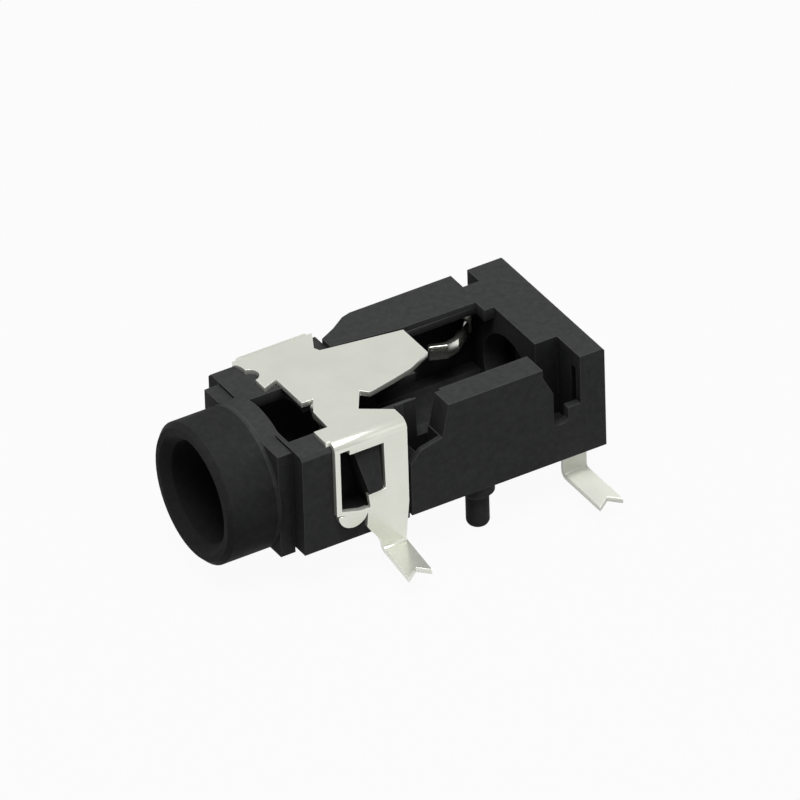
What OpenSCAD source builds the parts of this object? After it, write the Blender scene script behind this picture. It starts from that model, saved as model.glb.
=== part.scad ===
/* [Plug bore] */
// Diameter of the plug bore
bore_d = 3.6; // [3.5:0.05:3.7]
// Width of the lead-in chamfer at the mouth
mouth_chamfer = 0.3; // [0.1:0.05:0.5]
// Diameter of the wider tunnel behind the bore
tunnel_d = 4; // [3.95:0.05:4.1]
// Diameter of the pocket for the plug tip in the rear block
tip_pocket_d = 3.2; // [3.1:0.05:3.25]
// Diameter of the hole behind the plug tip
tip_hole_d = 2.4; // [1.6:0.1:3]
// Thickness of the wall that the tip hole goes through
tip_wall = 0.8; // [0.5:0.1:0.9]

/* [Barrel and collar] */
// Outside diameter of the barrel
barrel_d = 5; // [4.8:0.05:5.1]
// Length of the barrel in front of the body
barrel_l = 2.5; // [2:0.1:2.6]
// Chamfer of the barrel's front edge
barrel_edge = 0.18; // [0.05:0.01:0.3]
// Length of the barrel's crest over the front block
crest_l = 0.15; // [0.1:0.05:0.25]
// Length of the square collar
collar_l = 0.54; // [0.3:0.02:0.9]
// Width of the square collar
collar_w = 4.7; // [4.2:0.1:5]
// Height of the collar above the bore axis
collar_up = 2.1; // [1.9:0.05:2.15]
// Depth of the collar below the bore axis
collar_down = 1.88; // [1.7:0.02:2]

/* [Body] */
// Length of the whole socket, mouth to rear face
total_l = 14; // [13.8:0.1:14.4]
// Width of the body
body_w = 6.4; // [6.3:0.05:6.7]
// Height of the body's top above the bore axis
body_top = 2.4; // [2.35:0.05:2.6]
// Depth of the body's side walls below the bore axis
body_down = 1.45; // [1.3:0.05:1.6]
// Depth of the front block below the bore axis
front_down = 1.65; // [1.5:0.05:1.8]
// Diameter of the rounded underside, along the whole body
belly_d = 4.6; // [4.5:0.05:4.65]
// Chamfer of the rear block's top edges
rear_edge = 0.08; // [0.04:0.02:0.14]

/* [Contact cavity] */
// Length of the open cavity
cavity_l = 4; // [3.9:0.05:4.2]
// Length of the rear block
rear_l = 1.8; // [1.6:0.05:1.9]
// Thickness of the wall between the cavity and the near pocket
near_web = 0.4; // [0.3:0.01:0.45]
// Thickness of the wall between the cavity and the far pockets
far_web = 0.25; // [0.2:0.01:0.3]
// Distance of the rail's inner edge from the bore axis
rail_y = 1.42; // [1.3:0.02:1.6]
// Thickness of the overhanging rail
rail_t = 0.45; // [0.3:0.05:0.5]
// Depth of the cavity below the bore axis
cavity_down = 0.65; // [0.6:0.01:0.8]

/* [Pegs] */
// Diameter of a locating peg
peg_d = 0.8; // [0.6:0.05:0.9]
// Diameter of a peg's thick root
peg_root_d = 1.2; // [1.15:0.01:1.24]
// Length of a peg below the side walls
peg_l = 1.75; // [1.3:0.05:2]
// Distance of the pegs behind the cavity's front
peg_in = 1.15; // [1:0.05:1.4]
// Distance of each peg's axis from the body's side
peg_inset = 0.62; // [0.62:0.01:0.7]

/* [Cover] */
// Thickness of the cover sheet
sheet_t = 0.2; // [0.15:0.01:0.25]
// Outside radius of the cover's bends
bend_r = 0.34; // [0.3:0.01:0.4]
// Front edge of the cover plate, from the mouth
cover_front = 3.45; // [3.4:0.05:3.6]
// Rear edge of the cover's flanges, from the mouth
cover_rear = 6.4; // [6.3:0.05:6.5]
// Rear end of the tongue, from the mouth
tongue_end = 9.02; // [8.7:0.02:9.2]
// Height of the sheet above the flange windows
frame_top = 0.55; // [0.4:0.01:0.6]
// Width of the sheet behind the flange windows
frame_rear = 0.9; // [0.8:0.01:0.95]
// Width of the near flange's front strip
frame_front = 0.19; // [0.15:0.01:0.25]
// Width of the cover's leg at the foot
leg_w = 0.9; // [0.8:0.01:0.95]
// Slant of the cover's foot towards the mouth
foot_slant = 0.2; // [0:0.02:0.3]
// Width of the sleeve finger
finger_w = 0.8; // [0.6:0.05:0.85]
// Distance of the sleeve finger from the bore axis
finger_y = 0.93; // [0.9:0.01:0.96]

/* [Terminals] */
// Thickness of the terminal sheet
term_t = 0.2; // [0.16:0.01:0.22]
// Width of a solder foot
foot_w = 0.9; // [0.8:0.02:0.94]
// Distance of the solder feet's ends from the bore axis
foot_reach = 5.14; // [5:0.02:5.6]
// Depth of the fishtail notch in a foot
notch_d = 0.4; // [0.2:0.05:0.6]
// Distance of the ring contact behind the cavity's front
ring_in = 0.7; // [0.6:0.05:0.9]
// Distance of the tip contact behind the cavity's front
tip_in = 2.5; // [2.3:0.05:2.6]
// Distance of a contact's crest line from the bore axis
contact_y = 1.46; // [1.42:0.01:1.5]
// Depth of the ring arm's lower edge below the bore axis
ring_down = 0.55; // [0.4:0.01:0.55]
// Height of the tip arm's lower edge above the bore axis
tip_low = 0.6; // [0.4:0.01:0.65]
// Width of the tip arm
tip_w = 0.55; // [0.4:0.01:0.6]

/* [Hidden] */
$fn = 64;

// Overlap used where one cut or solid has to pass through another
eps = 0.02;
// Clearance of a terminal in its pocket, and of the cover beside the body
fit_gap = 0.05;
// Gap between a contact arm's round root and its terminal
root_gap = 0.03;

bore_r = bore_d / 2;
tunnel_r = tunnel_d / 2;
barrel_r = barrel_d / 2;
belly_r = belly_d / 2;
half_w = body_w / 2;
board_z = -barrel_r;
collar_x = barrel_l - collar_l;
bore_end = barrel_l + crest_l / 2;

// The front block is smaller than the body by the cover sheet, so that the two are flush
front_half_w = half_w - sheet_t;
front_top = body_top - sheet_t;
body_x = cover_rear + 2 * fit_gap;
rear_x = total_l - rear_l;
tunnel_l = rear_x - cavity_l;
rail_z = body_top - rail_t;

// The crest over the collar is flatter than the barrel, with its axis lower by this
crest_drop = 0.2;

// Window in the front block's top that the sleeve finger reaches through
window_x = barrel_l + crest_l;
window_end = cover_front + 0.65;
window_far = 0.9;
window_near = 1.9;
window_z = 0.9;

// Opening beside the tongue, from the finger's slot to the cavity
open_y = 0.75;
open_front = cover_rear - 0.9;

// Pockets of the terminals in the side walls
side_wall = 0.3;
pocket_out = half_w - side_wall;
pocket_w = term_t + 2 * fit_gap;
plate_y = pocket_out - fit_gap - term_t / 2;
cavity_near = pocket_out - pocket_w - near_web;
cavity_far = pocket_out - pocket_w - far_web;

// Notch in the near wall behind the cover, which shows the opening from its split to its rear
notch_y = cavity_near + 0.1;
notch_split = cover_rear + 0.9;
notch_rear = tunnel_l - 0.2;
// Thin skin left outside the pocket behind the notch, and the pocket's floor
notch_skin = 0.2;
notch_floor = 0.2;

// Near pocket and its slot in the near wall, placed from the rear face
near_slot_rear = total_l - 0.95;
near_slot_front = near_slot_rear - 1.05;
near_slot_z = 0.55;
near_mouth_front = near_slot_front - 0.38;
slot_tail_w = 0.56;
slot_tail_z = 0;
ring_plate_front = near_mouth_front + 2 * fit_gap;
ring_foot_front = total_l - 1.46;
ring_plate_rear = ring_foot_front + foot_w;

// Far slot of the tip terminal, placed from the rear face
far_slot_rear = total_l - 1.4;
far_slot_front = far_slot_rear - 0.63;
far_slot_y = half_w - 0.78;
tip_plate_front = far_slot_front + fit_gap;
tip_plate_rear = far_slot_rear - fit_gap;

// Pegs and contact crests, placed from the cavity's front
peg_x = tunnel_l + peg_in;
peg_y = half_w - peg_inset;
ring_x = tunnel_l + ring_in;
tip_x = tunnel_l + tip_in;

// Roots of the contact arms
ring_root = [rear_x - 0.32, -(cavity_near - 0.16)];
tip_root = [far_slot_front - 0.1, cavity_far - 0.2];

// Run of an arm from its crest to the bend behind it, and the bend's distance behind the crest line
crest_run = 0.45;
crest_rise = 0.12;
// Runs of the arms' free ends, and the distance of the tip arm's end behind its crest line
ring_end_run = 0.35;
tip_end_run = 0.5;
tip_end_rise = 0.2;

// The ring plate stays below the slot's tail, with a neck beside it that carries the arm
ring_arm_z = [-ring_down, slot_tail_z + 0.3];
ring_plate_top = slot_tail_z - 0.45;
ring_neck_w = 0.48;

// The tip arm lies high, under the rail
tip_arm_z = [tip_low, tip_low + tip_w];

// Cover flanges and their windows
flange_front = cover_front + 0.2;
flange_win_top = body_top - frame_top;
flange_win_rear = cover_rear - frame_rear;
near_win_front = flange_front + 0.55;
far_win_front = flange_front + 0.7;
far_flange_rear = cover_rear - 0.2;
leg_rear = cover_rear - 0.14;
leg_x = leg_rear - leg_w;

// Latch ramps in the flange windows, and the relief in the front block beside the near one
ramp_front = far_win_front + 0.1;
ramp_rear = flange_win_rear - 0.12;
relief_y = tunnel_r + 0.25;

foot_bend_r = 0.3;

// A strip of sheet seen on edge: straight runs of thickness t between points, with round turns
module strip(points, t) {
    for (i = [0 : len(points) - 2]) {
        run = points[i + 1] - points[i];
        translate(points[i])
            rotate(atan2(run.y, run.x))
                translate([0, -t / 2])
                    square([norm(run), t]);
    }
    for (p = points)
        translate(p)
            circle(d = t);
}

// A box between two corners
module span(low, high) {
    translate(low)
        cube(high - low);
}

// A flat outline in X and Z, given thickness t towards -Y from y
module side_plate(y, t) {
    translate([0, y, 0])
        rotate([90, 0, 0])
            linear_extrude(height = t)
                children();
}

// A quarter bend along X from x0 to x1, round the line at y and z; turn picks the quadrant
module bend(x0, x1, y, z, r, t, turn) {
    translate([x0, y, z])
        rotate([90, 0, 90])
            linear_extrude(height = x1 - x0)
                intersection() {
                    difference() {
                        circle(r = r);
                        circle(r = r - t);
                    }
                    rotate(turn)
                        square(r);
                }
}

// A solder foot with a fishtail end, flat on the board, on the side of sign s; slant leans it forward
module foot(x0, x1, slant, s, y0, t) {
    apex = x0 - slant + 0.58 * (x1 - x0);
    translate([0, 0, board_z])
        linear_extrude(height = t)
            polygon([
                [x0, s * y0],
                [x1, s * y0],
                [x1 - slant, s * foot_reach],
                [apex, s * (foot_reach - notch_d)],
                [x0 - slant, s * foot_reach]
            ]);
}

// A terminal plate standing in a side pocket, its foot bend and its foot
module terminal_plate(x0, x1, foot0, foot1, top, s) {
    bend_z = board_z + foot_bend_r;
    y_out = plate_y + term_t / 2;
    y_bend = y_out + foot_bend_r - term_t;
    side_plate(s * plate_y + term_t / 2, term_t)
        polygon([
            [x0, top],
            [x1, top],
            [x1, -body_down],
            [foot1, -body_down - 0.1],
            [foot1, bend_z],
            [foot0, bend_z],
            [foot0, -body_down - 0.1],
            [x0, -body_down]
        ]);
    bend(foot0, foot1, s * y_bend, bend_z, foot_bend_r, term_t, s > 0 ? 180 : 270);
    foot(foot0, foot1, 0, s, y_bend, term_t);
}

// The barrel, with its chamfered front edge, as one turned profile along X
module barrel_body(length) {
    rotate([0, 90, 0])
        rotate_extrude()
            polygon([
                [0, 0],
                [barrel_r - barrel_edge, 0],
                [barrel_r, barrel_edge],
                [barrel_r, length],
                [0, length]
            ]);
}

// The barrel's crest, which runs on over the collar and the front block
module crest() {
    crest_r = barrel_r + crest_drop;
    seat = collar_up + crest_drop;
    crest_half_w = sqrt(crest_r * crest_r - seat * seat) + eps;
    intersection() {
        translate([collar_x, 0, -crest_drop])
            rotate([0, 90, 0])
                cylinder(r = crest_r, h = window_x + eps - collar_x);
        span([0, -crest_half_w, collar_up - crest_drop], [body_x, crest_half_w, crest_r]);
    }
}

// The plug bore with its lead-in, the wider tunnel, the tip pocket and the hole behind it
module plug_bore() {
    rotate([0, 90, 0])
        rotate_extrude()
            polygon([
                [0, -eps],
                [bore_r + mouth_chamfer + eps, -eps],
                [bore_r, mouth_chamfer],
                [bore_r, bore_end],
                [tunnel_r, bore_end],
                [tunnel_r, rear_x - eps],
                [tip_pocket_d / 2, rear_x - eps],
                [tip_pocket_d / 2, total_l - tip_wall],
                [tip_hole_d / 2, total_l - tip_wall],
                [tip_hole_d / 2, total_l + eps],
                [0, total_l + eps]
            ]);
}

// The lower half of the plug tunnel, which runs the whole length under the body
module belly() {
    intersection() {
        rotate([0, 90, 0])
            cylinder(r = belly_r, h = total_l - rear_edge);
        span([collar_x, -half_w, -belly_r - eps], [total_l, half_w, 0]);
    }
}

// The front block, its long top edges eased to clear the inside of the cover's bends
module front_block() {
    ease = bend_r - sheet_t;
    translate([barrel_l, 0, 0])
        rotate([90, 0, 90])
            linear_extrude(height = body_x + eps - barrel_l)
                polygon([
                    [-front_half_w, -front_down],
                    [front_half_w, -front_down],
                    [front_half_w, front_top - ease],
                    [front_half_w - ease, front_top],
                    [-front_half_w + ease, front_top],
                    [-front_half_w, front_top - ease]
                ]);
}

// The body in plan: the far side starts with a slanted, rounded nose beside the cover
module body_plan() {
    nose_x = body_x + 1.4;
    polygon([
        [body_x, -half_w],
        [total_l, -half_w],
        [total_l, half_w],
        [nose_x + 0.15, half_w],
        [nose_x - 0.2, half_w - 0.1],
        [body_x + 0.62, half_w - 0.5],
        [body_x, front_half_w - 0.62]
    ]);
}

// A locating peg under the side wall of sign s
module locating_peg(s) {
    flare_h = 0.35;
    flare_r = peg_root_d / 2;
    round_r = 0.22;
    translate([peg_x, s * peg_y, -body_down])
        mirror([0, 0, 1])
            rotate_extrude()
                polygon(concat(
                    [[0, -eps], [flare_r, -eps], [flare_r, flare_h], [peg_d / 2, flare_h + 0.2]],
                    [for (a = [0 : 15 : 90]) [
                        peg_d / 2 - round_r + round_r * cos(a),
                        peg_l - round_r + round_r * sin(a)
                    ]],
                    [[0, peg_l]]
                ));
}

// Ramp that the cover's flange snaps over, on the side of sign s
module latch_ramp(x0, x1, low, high, s) {
    rise = sheet_t + 0.08;
    translate([x0, s * front_half_w, 0])
        rotate([90, 0, 90])
            linear_extrude(height = x1 - x0)
                polygon([[-s * eps, low], [s * rise, low], [s * 0.05, high], [-s * eps, high]]);
}

module housing_solid() {
    barrel_body(collar_x + eps);
    span([collar_x, -collar_w / 2, -collar_down], [barrel_l + eps, collar_w / 2, collar_up]);
    crest();
    front_block();
    translate([0, 0, -body_down])
        linear_extrude(height = body_down + body_top)
            body_plan();
    belly();
    for (s = [-1, 1])
        latch_ramp(ramp_front, ramp_rear, 0.12, flange_win_top - 0.13, s);
    for (s = [-1, 1])
        locating_peg(s);
}

// Roof of the tunnel: the sunk bed of the tongue between the near wall and the rail
module tongue_bed() {
    translate([0, 0, front_top])
        linear_extrude(height = sheet_t + eps)
            polygon([
                [body_x - eps, -cavity_near],
                [rear_x, -cavity_near],
                [rear_x, 0.85],
                [rear_x - 0.36, 0.85],
                [rear_x - 0.36, rail_y],
                [tongue_end, rail_y + fit_gap],
                [body_x - eps, rail_y + 0.42]
            ]);
}

module cavity() {
    span([tunnel_l, -cavity_near, -cavity_down], [rear_x, cavity_far, rail_z]);
    span([tunnel_l, -cavity_near, rail_z - eps], [rear_x - 0.36, rail_y, body_top + eps]);
    span([tunnel_l, -cavity_near, rail_z - eps], [rear_x, 0.85, body_top + eps]);
}

module sleeve_window() {
    span([window_x, -window_near, window_z], [window_end, window_far, barrel_r + eps]);
    slot_half_w = finger_w / 2 + 0.12;
    span([window_end - eps, -finger_y - slot_half_w, window_z],
        [body_x - 0.3, -finger_y + slot_half_w, front_top + eps]);
}

module side_opening() {
    span([open_front, -cavity_near + 0.3, window_z], [notch_split + eps, -open_y, body_top + eps]);
    span([notch_split, -notch_y - eps, window_z], [tunnel_l + eps, -open_y, body_top + eps]);
}

// Notch in the near wall behind the cover, its lower edge rising to the rear
module near_notch() {
    side_plate(-notch_y, half_w - notch_y + eps)
        polygon([
            [body_x - eps, body_top + eps],
            [notch_rear, body_top + eps],
            [notch_rear - 0.26, 1.2],
            [body_x + 0.4, 1],
            [body_x - eps, 0.55]
        ]);
    span([body_x + 0.3, -half_w + notch_skin, notch_floor], [notch_rear - 0.3, -notch_y + eps, body_top + eps]);
}

// Relief behind the near window, slanted along the latch ramp
module window_relief() {
    relief_front = flange_front + frame_front - fit_gap;
    relief_top = front_top - sheet_t;
    side_plate(-relief_y, half_w - relief_y + 2 * fit_gap)
        polygon([
            [relief_front, relief_top],
            [ramp_front - 0.07, relief_top],
            [ramp_front + 0.58, -0.6],
            [relief_front, -0.6]
        ]);
}

// Outline of the slot's narrow tail in the near wall, from its open top at z
module slot_tail(z) {
    corner = 0.12;
    tail_rear = near_slot_front + slot_tail_w;
    polygon([
        [near_slot_front, z],
        [near_slot_front, slot_tail_z + corner],
        [near_slot_front + corner, slot_tail_z],
        [tail_rear - corner, slot_tail_z],
        [tail_rear, slot_tail_z + corner],
        [tail_rear, z]
    ]);
}

module near_pocket() {
    span([near_mouth_front, -pocket_out, -body_down - eps],
        [ring_plate_rear + fit_gap, -pocket_out + pocket_w, body_top - 0.6]);
    span([near_mouth_front, -pocket_out, -cavity_down], [near_slot_rear, -1.75, body_top + eps]);
    span([near_slot_front, -half_w - eps, near_slot_z], [near_slot_rear, -pocket_out + eps, body_top + eps]);
    side_plate(-pocket_out + eps, side_wall + 2 * eps)
        polygon([
            [near_slot_front + eps, 1.3],
            [near_slot_front + eps, body_top + eps],
            [near_mouth_front, body_top + eps],
            [near_mouth_front, body_top - 0.3]
        ]);
    side_plate(-pocket_out + eps, side_wall + 2 * eps)
        slot_tail(near_slot_z + eps);
}

module far_pocket() {
    span([far_slot_front, far_slot_y, -body_down - eps], [far_slot_rear, half_w + eps, body_top + eps]);
    span([tip_root.x - term_t, cavity_far - eps, tip_arm_z[0] - 3 * fit_gap],
        [far_slot_rear - term_t, far_slot_y + eps, tip_arm_z[1] + 3 * fit_gap]);
}

// Chamfer along the rear block's top rear edge
module rear_edge_cut() {
    translate([total_l, 0, body_top])
        rotate([0, 45, 0])
            cube([rear_edge * sqrt(2), body_w + 1, rear_edge * sqrt(2)], center = true);
}

module housing() {
    color([0.16, 0.165, 0.165])
        difference() {
            housing_solid();
            plug_bore();
            tongue_bed();
            cavity();
            sleeve_window();
            side_opening();
            near_notch();
            window_relief();
            near_pocket();
            far_pocket();
            rear_edge_cut();
        }
}

// The cover plate in plan, with its round notch, stepped front edge, tongue and clearance cuts
module cover_plan() {
    step_x = cover_front + 0.58;
    near_y = half_w - bend_r;
    difference() {
        polygon([
            [cover_front - 0.12, near_y],
            [cover_front, 2.35],
            [cover_front, 0.95],
            [step_x, 1.2],
            [step_x, -0.46],
            [step_x + 0.44, -0.46],
            [step_x + 0.05, -1.1],
            [step_x, -2.1],
            [cover_front + 0.05, -2.1],
            [cover_front + 0.05, -near_y],
            [cover_rear, -near_y],
            [cover_rear, -2.42],
            [leg_x + 0.06, -1.76],
            [cover_rear - 0.42, -0.88],
            [cover_rear - 0.16, -1.14],
            [cover_rear + 0.84, -0.91],
            [tongue_end - 0.95, -0.69],
            [tongue_end, -0.2],
            [tongue_end, rail_y - fit_gap],
            [cover_rear - 0.3, 1.85],
            [cover_rear - 0.4, 2.06],
            [cover_rear, near_y]
        ]);
        translate([cover_front - 0.05, 1.87])
            circle(r = 0.34);
    }
}

// The near flange in X and Z: frame, window, slanted leg
module near_flange() {
    bend_top = body_top - bend_r;
    strip_rear = flange_front + frame_front;
    difference() {
        polygon([
            [flange_front, bend_top],
            [cover_rear, bend_top],
            [cover_rear, -0.8],
            [leg_rear, board_z + foot_bend_r],
            [leg_x, board_z + foot_bend_r],
            [leg_x - 0.1, -1.95],
            [leg_x - 0.58, -1.25],
            [leg_x - 0.53, -0.7],
            [flange_front, -0.42]
        ]);
        near_window(strip_rear, bend_top);
    }
}

// Window of the near flange, open at its upper front corner and stepped at its lower rear one
module near_window(strip_rear, bend_top) {
    polygon([
        [strip_rear, bend_top - eps],
        [near_win_front, bend_top - eps],
        [near_win_front, flange_win_top],
        [flange_win_rear, flange_win_top],
        [flange_win_rear + 0.03, 0.03],
        [leg_x - 0.5, 0],
        [leg_x - 0.42, -0.52],
        [leg_x - 0.58, -0.57],
        [strip_rear, -0.3]
    ]);
}

// Rounded lip below the window
module lip() {
    lip_r = 0.56;
    translate([flange_front + 0.63, -0.5])
        intersection() {
            circle(r = lip_r);
            translate([-lip_r, -lip_r])
                square([2 * lip_r, lip_r]);
        }
}

module far_flange() {
    difference() {
        polygon([
            [flange_front, body_top - bend_r],
            [far_flange_rear, body_top - bend_r],
            [far_flange_rear, -0.3],
            [far_flange_rear - 0.3, -0.6],
            [flange_front + 0.3, -0.6],
            [flange_front, -0.3]
        ]);
        polygon([
            [far_win_front, flange_win_top],
            [flange_win_rear, flange_win_top],
            [flange_win_rear, 0.05],
            [far_win_front, 0.05]
        ]);
    }
}

// Sleeve finger: folded down in the plate's notch, and back towards the plug
module sleeve_finger() {
    notch_x = cover_front + 1;
    mid = body_top - sheet_t / 2;
    translate([0, -finger_y + finger_w / 2, 0])
        rotate([90, 0, 0])
            linear_extrude(height = finger_w)
                strip([
                    [notch_x + 0.08, mid],
                    [notch_x - 0.06, mid - 0.12],
                    [notch_x + 0.02, contact_y + 0.28],
                    [notch_x + 0.75, contact_y],
                    [notch_x + 1.25, contact_y + 0.14]
                ], sheet_t);
}

module sleeve_cover() {
    near_y = half_w - bend_r;
    bend_z = body_top - bend_r;
    y_bend = half_w + foot_bend_r - sheet_t;
    color([0.82, 0.82, 0.78]) {
        translate([0, 0, front_top])
            linear_extrude(height = sheet_t)
                cover_plan();
        bend(flange_front, cover_rear, -near_y, bend_z, bend_r, sheet_t, 90);
        side_plate(-half_w + sheet_t, sheet_t) {
            near_flange();
            lip();
        }
        bend(leg_x, leg_rear, -y_bend, board_z + foot_bend_r, foot_bend_r, sheet_t, 270);
        foot(leg_x, leg_rear, foot_slant, -1, y_bend, sheet_t);
        bend(flange_front, far_flange_rear, near_y, bend_z, bend_r, sheet_t, 0);
        side_plate(half_w, sheet_t)
            far_flange();
        sleeve_finger();
    }
}

// A strip standing on edge between the heights z[0] and z[1], bent through points in plan
module arm(points, z) {
    translate([0, 0, z[0]])
        linear_extrude(height = z[1] - z[0])
            strip(points, term_t);
}

module ring_terminal() {
    color([0.8, 0.8, 0.76]) {
        terminal_plate(ring_plate_front, ring_plate_rear, ring_foot_front, ring_plate_rear,
            ring_plate_top, -1);
        side_plate(-plate_y + term_t / 2, term_t)
            translate([ring_plate_front, ring_plate_top - eps])
                square([ring_neck_w, ring_arm_z[1] - ring_plate_top + eps]);
        arm([
            [ring_plate_front + ring_neck_w - term_t / 2, -plate_y],
            [ring_root.x + term_t + root_gap + 0.06, ring_root.y - 0.12]
        ], ring_arm_z);
    }
}

module ring_spring() {
    color([0.84, 0.84, 0.8])
        arm([
            ring_root,
            [ring_x + crest_run, -contact_y - crest_rise],
            [ring_x, -contact_y],
            [ring_x - ring_end_run, -contact_y - crest_rise]
        ], ring_arm_z);
}

module tip_terminal() {
    color([0.8, 0.8, 0.76]) {
        terminal_plate(tip_plate_front, tip_plate_rear, tip_plate_front, tip_plate_rear, tip_arm_z[1], 1);
        arm([
            [tip_plate_front + term_t / 2, plate_y],
            [tip_root.x + term_t + root_gap, tip_root.y + 1.25 * term_t]
        ], tip_arm_z);
    }
}

module tip_spring() {
    color([0.84, 0.84, 0.8])
        arm([
            tip_root,
            [tip_x + crest_run, contact_y + crest_rise],
            [tip_x, contact_y],
            [tip_x - tip_end_run, contact_y + tip_end_rise]
        ], tip_arm_z);
}

housing();
sleeve_cover();
ring_terminal();
ring_spring();
tip_terminal();
tip_spring();
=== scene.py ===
import math

import bmesh
import bpy
import numpy as np
from mathutils import Matrix, Vector


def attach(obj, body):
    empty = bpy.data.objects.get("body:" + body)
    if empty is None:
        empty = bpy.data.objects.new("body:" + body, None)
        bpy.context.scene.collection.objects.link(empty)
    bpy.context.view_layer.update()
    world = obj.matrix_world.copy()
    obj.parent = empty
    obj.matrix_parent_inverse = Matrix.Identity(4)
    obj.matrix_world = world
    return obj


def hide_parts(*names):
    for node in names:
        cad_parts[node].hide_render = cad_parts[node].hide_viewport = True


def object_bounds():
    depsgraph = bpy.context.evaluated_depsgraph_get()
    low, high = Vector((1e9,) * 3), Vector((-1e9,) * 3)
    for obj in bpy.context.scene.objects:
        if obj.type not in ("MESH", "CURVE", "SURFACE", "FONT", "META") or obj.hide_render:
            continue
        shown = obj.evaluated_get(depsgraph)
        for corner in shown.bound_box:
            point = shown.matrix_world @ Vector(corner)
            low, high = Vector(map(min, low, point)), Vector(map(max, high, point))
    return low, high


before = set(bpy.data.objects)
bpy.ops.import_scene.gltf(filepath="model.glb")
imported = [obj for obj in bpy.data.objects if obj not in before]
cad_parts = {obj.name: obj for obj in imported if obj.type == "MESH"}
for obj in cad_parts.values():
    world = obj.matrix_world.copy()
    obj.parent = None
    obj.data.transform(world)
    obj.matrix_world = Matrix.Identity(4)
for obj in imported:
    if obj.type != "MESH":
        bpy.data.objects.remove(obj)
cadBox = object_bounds()
scene = bpy.context.scene
mm = 0.001
print("frame loaded:", sorted(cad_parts))


# Camera: the photo's own direction, found from the body's corners and edges

cameraSet = {
    "azimuth": -30.13,  # degrees round the part, 0 looks along +Y
    "elevation": 34.61,
    "roll": -1.8,
    "distance": 600 * mm,
    "target": (7 * mm, 0.0, 0.0),  # middle of the bore axis
    "targetPixel": (374.1, 428.2),  # where the photo shows that point
    "pixelsPerMetre": 30340.0,
    "imageSize": 800,
    "sensor": 36.0,
    "clip": (0.01, 10.0),
}


def makeCamera(s):
    az, el, roll = (math.radians(s[k]) for k in ("azimuth", "elevation", "roll"))
    right = Vector((math.cos(az), math.sin(az), 0))
    up = Vector((-math.sin(az) * math.sin(el), math.cos(az) * math.sin(el), math.cos(el)))
    toward = Vector((math.sin(az) * math.cos(el), -math.cos(az) * math.cos(el), math.sin(el)))
    imageRight = right * math.cos(roll) + up * math.sin(roll)
    imageUp = up * math.cos(roll) - right * math.sin(roll)
    middle = s["imageSize"] / 2
    across = (middle - s["targetPixel"][0]) / s["pixelsPerMetre"]
    above = (s["targetPixel"][1] - middle) / s["pixelsPerMetre"]
    aim = Vector(s["target"]) + imageRight * across + imageUp * above
    place = aim + toward * s["distance"]

    data = bpy.data.cameras.new("photoCamera")
    data.sensor_width = s["sensor"]
    data.lens = s["pixelsPerMetre"] * s["distance"] / s["imageSize"] * s["sensor"]
    data.clip_start, data.clip_end = s["clip"]
    camera = bpy.data.objects.new("photoCamera", data)
    turn = Matrix((imageRight, imageUp, toward)).transposed().to_4x4()
    camera.matrix_world = Matrix.Translation(place) @ turn
    scene.collection.objects.link(camera)
    scene.camera = camera


makeCamera(cameraSet)
print("camera set")


# Materials

noiseSpan = (0.3, 0.7)  # where nearly all of a noise's values lie


def newMaterial(name):
    material = bpy.data.materials.new(name)
    material.use_nodes = True
    nodes = material.node_tree.nodes
    shader = nodes["Principled BSDF"]
    place = nodes.new("ShaderNodeTexCoord")
    return material, nodes, material.node_tree.links, shader, place


# A noise on object coordinates; a stretch below 1 lengthens its grains along that axis
def grain(nodes, links, place, scale, detail=4.0, rough=0.55, stretch=(1, 1, 1)):
    mapping = nodes.new("ShaderNodeMapping")
    mapping.inputs["Scale"].default_value = stretch
    links.new(place.outputs["Object"], mapping.inputs["Vector"])
    noise = nodes.new("ShaderNodeTexNoise")
    noise.inputs["Scale"].default_value = scale
    noise.inputs["Detail"].default_value = detail
    noise.inputs["Roughness"].default_value = rough
    links.new(mapping.outputs["Vector"], noise.inputs["Vector"])
    return noise.outputs["Fac"]


# Carries a value from its own span, a noise's unless another is given, to low and high
def spread(nodes, links, value, low, high, span=noiseSpan):
    remap = nodes.new("ShaderNodeMapRange")
    remap.inputs["From Min"].default_value = span[0]
    remap.inputs["From Max"].default_value = span[1]
    remap.inputs["To Min"].default_value = low
    remap.inputs["To Max"].default_value = high
    links.new(value, remap.inputs["Value"])
    return remap.outputs["Result"]


# Two colours mixed by a noise
def blendColours(nodes, links, value, dark, light):
    ramp = nodes.new("ShaderNodeValToRGB")
    for element, position, colour in zip(ramp.color_ramp.elements, noiseSpan, (dark, light)):
        element.position = position
        element.color = (*colour, 1)
    links.new(value, ramp.inputs["Fac"])
    return ramp.outputs["Color"]


def bumpFrom(nodes, links, height, strength, depth):
    bump = nodes.new("ShaderNodeBump")
    bump.inputs["Strength"].default_value = strength
    bump.inputs["Distance"].default_value = depth
    links.new(height, bump.inputs["Height"])
    return bump.outputs["Normal"]


edgeLook = {
    "samples": 6,
    "span": (0.9, 0.995),  # how far the two normals agree, on an edge and on a flat face
}


# Painted highlight: the face colour, turning to a brighter edge colour where a rounded normal leaves the
# surface's own
def paintedEdgeHighlights(nodes, links, face, edge, reach):
    rounded = nodes.new("ShaderNodeBevel")
    rounded.samples = edgeLook["samples"]
    rounded.inputs["Radius"].default_value = reach
    surface = nodes.new("ShaderNodeNewGeometry")
    agree = nodes.new("ShaderNodeVectorMath")
    agree.operation = "DOT_PRODUCT"
    links.new(rounded.outputs["Normal"], agree.inputs[0])
    links.new(surface.outputs["Normal"], agree.inputs[1])
    mix = nodes.new("ShaderNodeMix")
    mix.data_type = "RGBA"
    onEdge = spread(nodes, links, agree.outputs["Value"], 1.0, 0.0, edgeLook["span"])
    links.new(onEdge, mix.inputs["Factor"])
    links.new(face, mix.inputs["A"])
    mix.inputs["B"].default_value = (*edge, 1)
    return mix.outputs["Result"]


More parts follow.
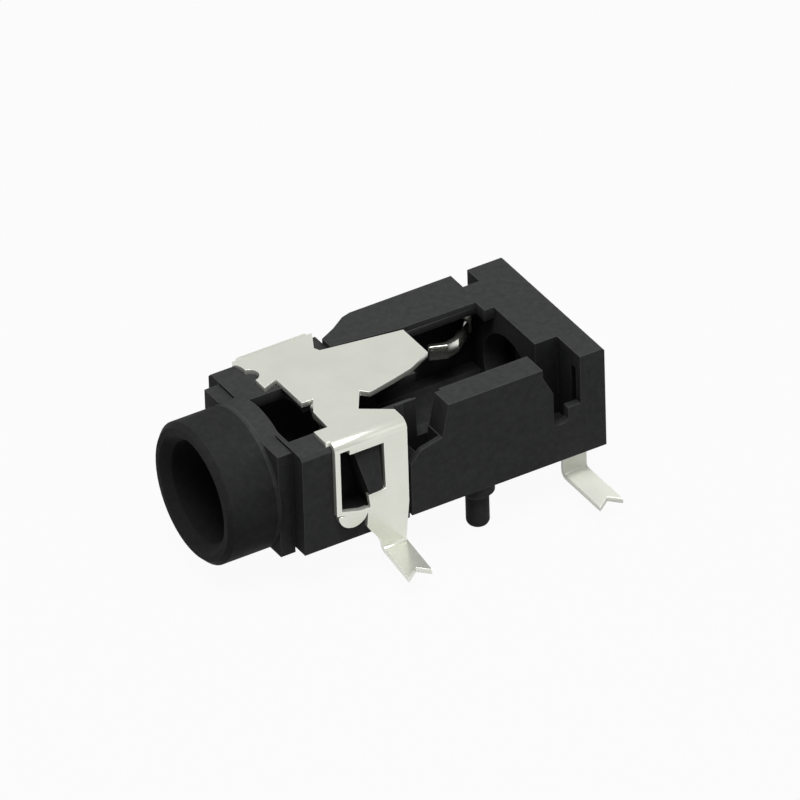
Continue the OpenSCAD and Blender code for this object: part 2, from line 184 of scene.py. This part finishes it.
plasticSet = {
    "dark": (0.0355, 0.0363, 0.0363),
    "light": (0.0505, 0.0513, 0.0513),
    "edge": (0.075, 0.076, 0.076),  # painted highlight along the arrises
    "edgeReach": 0.06 * mm,
    "specular": 0.02,
    "roughLow": 0.5,
    "roughHigh": 0.64,
    "sparkScale": 11000.0,  # spark-eroded mould texture, about 0.09 mm
    "sparkDepth": 0.004 * mm,
    "sparkStrength": 0.35,
    "mottleScale": 4200.0,  # blotches of about 0.2 mm
    "flowScale": 700.0,  # slow change of gloss along the moulding
    "recessShadeReach": 2.4 * mm,  # painted shade: pockets within this reach of other walls are painted darker
    "recessShadeLow": 0.32,
    "recessShadeSpan": (0.3, 1.0),  # open share of the view from a surface, deep in a pocket and outside
    "recessShadeSamples": 8,
    "barrelEnd": 1.8 * mm,  # painted shade: the barrel in front of this is painted a shade darker
    "barrelPaintedShade": 0.54,
    "barrelBlend": 0.02 * mm,
}


def mouldedPlastic(s):
    material, nodes, links, shader, place = newMaterial("mouldedPlastic")
    flow = grain(nodes, links, place, s["flowScale"], detail=3.0)
    spark = grain(nodes, links, place, s["sparkScale"], detail=3.0, rough=0.6)
    # painted shade: the base colour darkens where the plastic's own walls close round it
    recess = nodes.new("ShaderNodeAmbientOcclusion")
    recess.samples = s["recessShadeSamples"]
    recess.only_local = True
    recess.inputs["Distance"].default_value = s["recessShadeReach"]
    shade = spread(nodes, links, recess.outputs["AO"], s["recessShadeLow"], 1.0, s["recessShadeSpan"])
    # painted shade on the barrel's front, set by the X of the object coordinates
    along = nodes.new("ShaderNodeSeparateXYZ")
    links.new(place.outputs["Object"], along.inputs["Vector"])
    barrelSpan = (s["barrelEnd"], s["barrelEnd"] + s["barrelBlend"])
    barrel = spread(nodes, links, along.outputs["X"], s["barrelPaintedShade"], 1.0, barrelSpan)
    level = nodes.new("ShaderNodeMath")
    level.operation = "MULTIPLY"
    links.new(shade, level.inputs[0])
    links.new(barrel, level.inputs[1])
    # the base colour times the painted recess shade and the painted barrel shade
    shadedColour = nodes.new("ShaderNodeVectorMath")
    shadedColour.operation = "SCALE"
    mottle = grain(nodes, links, place, s["mottleScale"], detail=5.0, rough=0.7)
    face = blendColours(nodes, links, mottle, s["dark"], s["light"])
    links.new(paintedEdgeHighlights(nodes, links, face, s["edge"], s["edgeReach"]), shadedColour.inputs["Vector"])
    links.new(level.outputs["Value"], shadedColour.inputs["Scale"])
    links.new(shadedColour.outputs["Vector"], shader.inputs["Base Color"])
    links.new(spread(nodes, links, flow, s["roughLow"], s["roughHigh"]), shader.inputs["Roughness"])
    links.new(bumpFrom(nodes, links, spark, s["sparkStrength"], s["sparkDepth"]), shader.inputs["Normal"])
    shader.inputs["Specular IOR Level"].default_value = s["specular"]
    return material


plateSet = {
    "dark": (0.8, 0.808, 0.725),
    "light": (0.85, 0.858, 0.775),
    "edge": (0.97, 0.97, 0.94),  # painted highlight: the sheared edges are painted brighter than the rolled faces
    "edgeReach": 0.07 * mm,
    "metallic": 0.6,  # a soft grey-white bloom lies on the bright metal
    "roughLow": 0.22,
    "roughHigh": 0.27,
    "rollScale": 9000.0,  # rolling lines of the strip
    "rollDepth": 0.00012 * mm,
    "rollStrength": 0.25,
    "rollStretch": (0.06, 1.0, 1.0),  # the lines run along X
    "cloudScale": 900.0,  # cloudy tin
}
terminalSet = dict(  # matte solder tails, rolled along Y
    plateSet, metallic=0.25, roughLow=0.36, roughHigh=0.42, rollStretch=(1.0, 0.06, 1.0))
springSet = dict(plateSet, metallic=0.95, roughLow=0.2, roughHigh=0.26, rollDepth=0.0001 * mm)


def platedSheet(s, name):
    material, nodes, links, shader, place = newMaterial(name)
    cloud = grain(nodes, links, place, s["cloudScale"])
    roll = grain(nodes, links, place, s["rollScale"], detail=2.0, stretch=s["rollStretch"])
    face = blendColours(nodes, links, cloud, s["dark"], s["light"])
    # painted highlight on the sheet's edges
    links.new(paintedEdgeHighlights(nodes, links, face, s["edge"], s["edgeReach"]), shader.inputs["Base Color"])
    links.new(spread(nodes, links, roll, s["roughLow"], s["roughHigh"]), shader.inputs["Roughness"])
    links.new(bumpFrom(nodes, links, roll, s["rollStrength"], s["rollDepth"]), shader.inputs["Normal"])
    shader.inputs["Metallic"].default_value = s["metallic"]
    return material


blackPlastic = mouldedPlastic(plasticSet)
coverPlate = platedSheet(plateSet, "coverPlate")
terminalPlate = platedSheet(terminalSet, "terminalPlate")
springPlate = platedSheet(springSet, "springPlate")
print("materials made")


# Pieces: each solid of the frame with its moulded or stamped edges eased

edgeSet = {
    "mergeDistance": 0.0006 * mm,
    "flatAngle": math.radians(0.4),
    "sharpAngle": math.radians(32),
    "segments": 2,
}


def easedCopy(node, s):
    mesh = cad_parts[node].data.copy()
    mesh.name = node + "Eased"
    work = bmesh.new()
    work.from_mesh(mesh)
    bmesh.ops.remove_doubles(work, verts=work.verts, dist=edgeSet["mergeDistance"])
    bmesh.ops.dissolve_limit(work, angle_limit=edgeSet["flatAngle"], verts=work.verts, edges=work.edges)
    for face in work.faces:
        face.smooth = True
    work.to_mesh(mesh)
    work.free()
    piece = bpy.data.objects.new(node + "Eased", mesh)
    scene.collection.objects.link(piece)
    ease = piece.modifiers.new("easedEdges", "BEVEL")
    ease.width = s["ease"]
    ease.segments = edgeSet["segments"]
    ease.limit_method = "ANGLE"
    ease.angle_limit = edgeSet["sharpAngle"]
    ease.use_clamp_overlap = True
    level = piece.modifiers.new("levelShading", "WEIGHTED_NORMAL")
    level.mode = "FACE_AREA"
    level.keep_sharp = True
    mesh.materials.clear()
    mesh.materials.append(s["material"])
    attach(piece, s["body"])
    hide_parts(node)


# ease is the width of a piece's rounded edges
terminal = {"ease": 0.03 * mm, "material": terminalPlate, "slot": "plated_terminal", "body": "socket"}
spring = {"ease": 0.03 * mm, "material": springPlate, "slot": "plated_spring"}
pieceSet = {
    "housing": {"ease": 0.05 * mm, "material": blackPlastic, "slot": "housing_plastic", "body": "socket"},
    "sleeve_cover": {"ease": 0.035 * mm, "material": coverPlate, "slot": "plated_cover", "body": "socket"},
    "ring_terminal": terminal,
    "tip_terminal": terminal,
    "ring_spring": dict(spring, body="ring_arm"),
    "tip_spring": dict(spring, body="tip_arm"),
}
for node, settings in pieceSet.items():
    easedCopy(node, settings)
print("pieces eased:", len(pieceSet))


# Stage: a pale floor and plain soft light

stageSet = {
    "floorSize": 0.6,
    "floorPoints": 9,  # along each side of its grid
    "floorGap": 0.02 * mm,
    "floorColour": (0.3, 0.3, 0.3),
    "floorRough": 0.9,
    "floorShown": 0.95,  # share of plain white the eye gets
    "floorMirrored": 1.0,  # share of plain white a reflection gets, the rest is the lit floor
    "worldColour": (1.0, 1.0, 1.0),
    "worldStrength": 0.1,  # even light on the part
    "worldMirrored": 0.5,  # strength that a reflection gets
}


# White to the eye and in reflections, over a plain surface that takes a faint shadow
def floorMaterial(s):
    material = bpy.data.materials.new("paleFloor")
    material.use_nodes = True
    nodes, links = material.node_tree.nodes, material.node_tree.links
    surface = nodes["Principled BSDF"]
    surface.inputs["Base Color"].default_value = (*s["floorColour"], 1)
    surface.inputs["Roughness"].default_value = s["floorRough"]
    glow = nodes.new("ShaderNodeEmission")
    path = nodes.new("ShaderNodeLightPath")
    mirrored = spread(nodes, links, path.outputs["Is Glossy Ray"], 0.0, s["floorMirrored"], (0.0, 1.0))
    shown = spread(nodes, links, path.outputs["Is Camera Ray"], 0.0, s["floorShown"], (0.0, 1.0))
    share = nodes.new("ShaderNodeMath")
    share.operation = "MAXIMUM"
    links.new(mirrored, share.inputs[0])
    links.new(shown, share.inputs[1])
    mix = nodes.new("ShaderNodeMixShader")
    links.new(share.outputs["Value"], mix.inputs["Fac"])
    links.new(surface.outputs["BSDF"], mix.inputs[1])
    links.new(glow.outputs["Emission"], mix.inputs[2])
    links.new(mix.outputs["Shader"], nodes["Material Output"].inputs["Surface"])
    return material


# The floor is a flat grid of points, half of its size each way from the part's middle
def makeFloor(s):
    low, high = cadBox
    centre = (np.array(low) + np.array(high)) / 2
    steps = np.linspace(-0.5, 0.5, s["floorPoints"]) * s["floorSize"]
    gridX, gridY = np.meshgrid(steps + centre[0], steps + centre[1], indexing="ij")
    points = np.stack([gridX, gridY, np.full_like(gridX, low[2] - s["floorGap"])], -1).reshape(-1, 3)
    n = len(steps)
    corner = (np.arange(n - 1)[:, None] * n + np.arange(n - 1)).ravel()
    faces = np.stack([corner, corner + n, corner + n + 1, corner + 1], -1)
    mesh = bpy.data.meshes.new("floor")
    mesh.from_pydata(points.tolist(), [], faces.tolist())
    mesh.materials.append(floorMaterial(s))
    floor = bpy.data.objects.new("floor", mesh)
    scene.collection.objects.link(floor)


# World: white to the eye, half as bright in reflections, and a weak even light on the part
def makeWorld(s):
    world = bpy.data.worlds.new("studio")
    world.use_nodes = True
    nodes, links = world.node_tree.nodes, world.node_tree.links
    background = nodes["Background"]
    path = nodes.new("ShaderNodeLightPath")
    seen = nodes.new("ShaderNodeMath")
    seen.operation = "MAXIMUM"
    links.new(path.outputs["Is Camera Ray"], seen.inputs[0])
    links.new(path.outputs["Is Transmission Ray"], seen.inputs[1])
    shown = spread(nodes, links, seen.outputs["Value"], s["worldStrength"], 1.0, (0.0, 1.0))
    mirrored = spread(nodes, links, path.outputs["Is Glossy Ray"], 0.0, s["worldMirrored"], (0.0, 1.0))
    level = nodes.new("ShaderNodeMath")
    level.operation = "MAXIMUM"
    links.new(shown, level.inputs[0])
    links.new(mirrored, level.inputs[1])
    background.inputs["Color"].default_value = (*s["worldColour"], 1)
    links.new(level.outputs["Value"], background.inputs["Strength"])
    scene.world = world


lampSet = {
    "overhead": {"from": (-0.008, -0.03, 0.145), "size": 0.1, "power": 0.27},
    "nearFill": {"from": (0.12, -0.15, 0.07), "size": 0.12, "power": 0.02},
}


def makeLamp(name, s):
    data = bpy.data.lights.new(name, "AREA")
    data.shape = "SQUARE"
    data.size = s["size"]
    data.energy = s["power"]
    lamp = bpy.data.objects.new(name, data)
    place = Vector(s["from"])
    lamp.location = place
    lamp.rotation_euler = (Vector(cameraSet["target"]) - place).to_track_quat("-Z", "Y").to_euler()
    scene.collection.objects.link(lamp)


makeFloor(stageSet)
makeWorld(stageSet)
for name, settings in lampSet.items():
    makeLamp(name, settings)
scene.view_settings.view_transform = "Standard"
print("stage lit")
